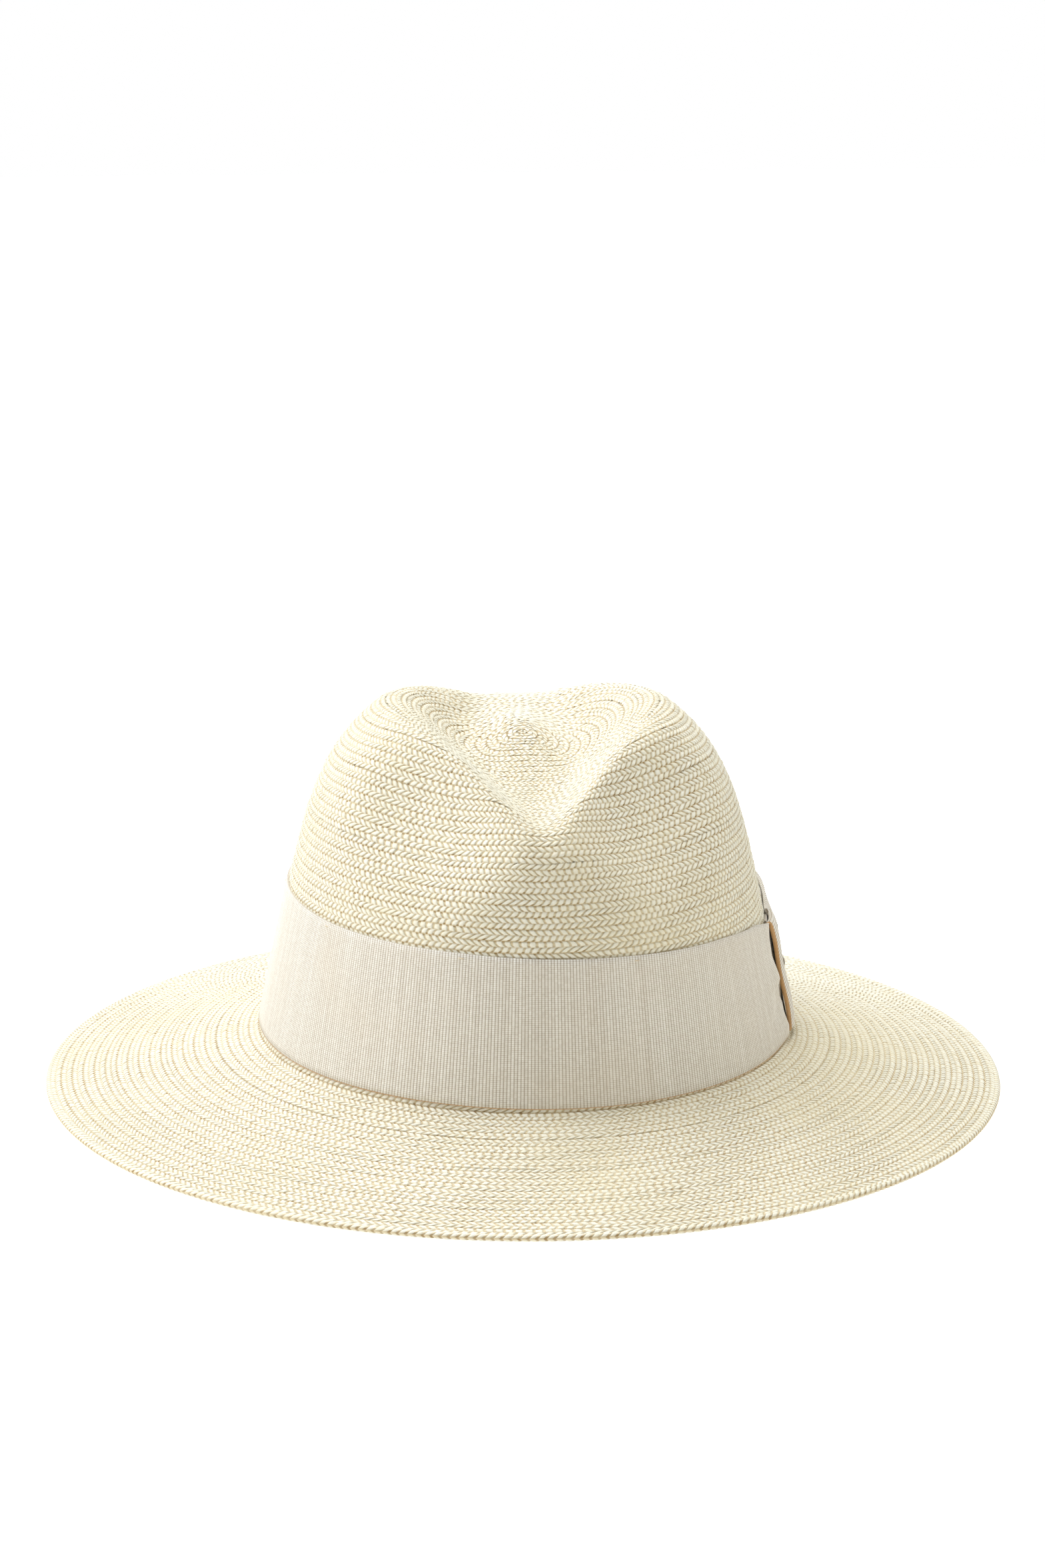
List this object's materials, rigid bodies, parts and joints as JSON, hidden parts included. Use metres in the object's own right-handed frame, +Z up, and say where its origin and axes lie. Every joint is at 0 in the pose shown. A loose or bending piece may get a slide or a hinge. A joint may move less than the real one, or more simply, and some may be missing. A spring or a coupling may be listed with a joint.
{
  "type": "panama hat",
  "caption": "Woven straw hat with a long dent in the crown, a finger pinch on each side, a wide sloping oval brim, a broad ribbon with a side bow, and a sweatband inside.",
  "frame": {"origin": "middle of the brim's rim in plan, on the flat surface that the rim rests on", "axes": "+Z up to the top of the crown, the front of the hat faces -Y, +X is the wearer's left, where the bow is"},
  "size_m": [0.316, 0.344, 0.1317],
  "materials": {
    "straw": "matte bleached straw in a herringbone weave",
    "ribbon": "ribbed ivory grosgrain, soft sheen",
    "sweatband_leather": "smooth tan leather, satin",
    "thread": "matte twisted thread"
  },
  "bodies": {
    "root": {"straw_body": "straw", "sweatband": "sweatband_leather", "sweatband_stitching": "thread", "sweatband_bow": "ribbon", "hat_band": "ribbon", "bow_knot": "ribbon", "bow_wing": "ribbon", "band_tacks": "thread"}
  },
  "joints": []
}
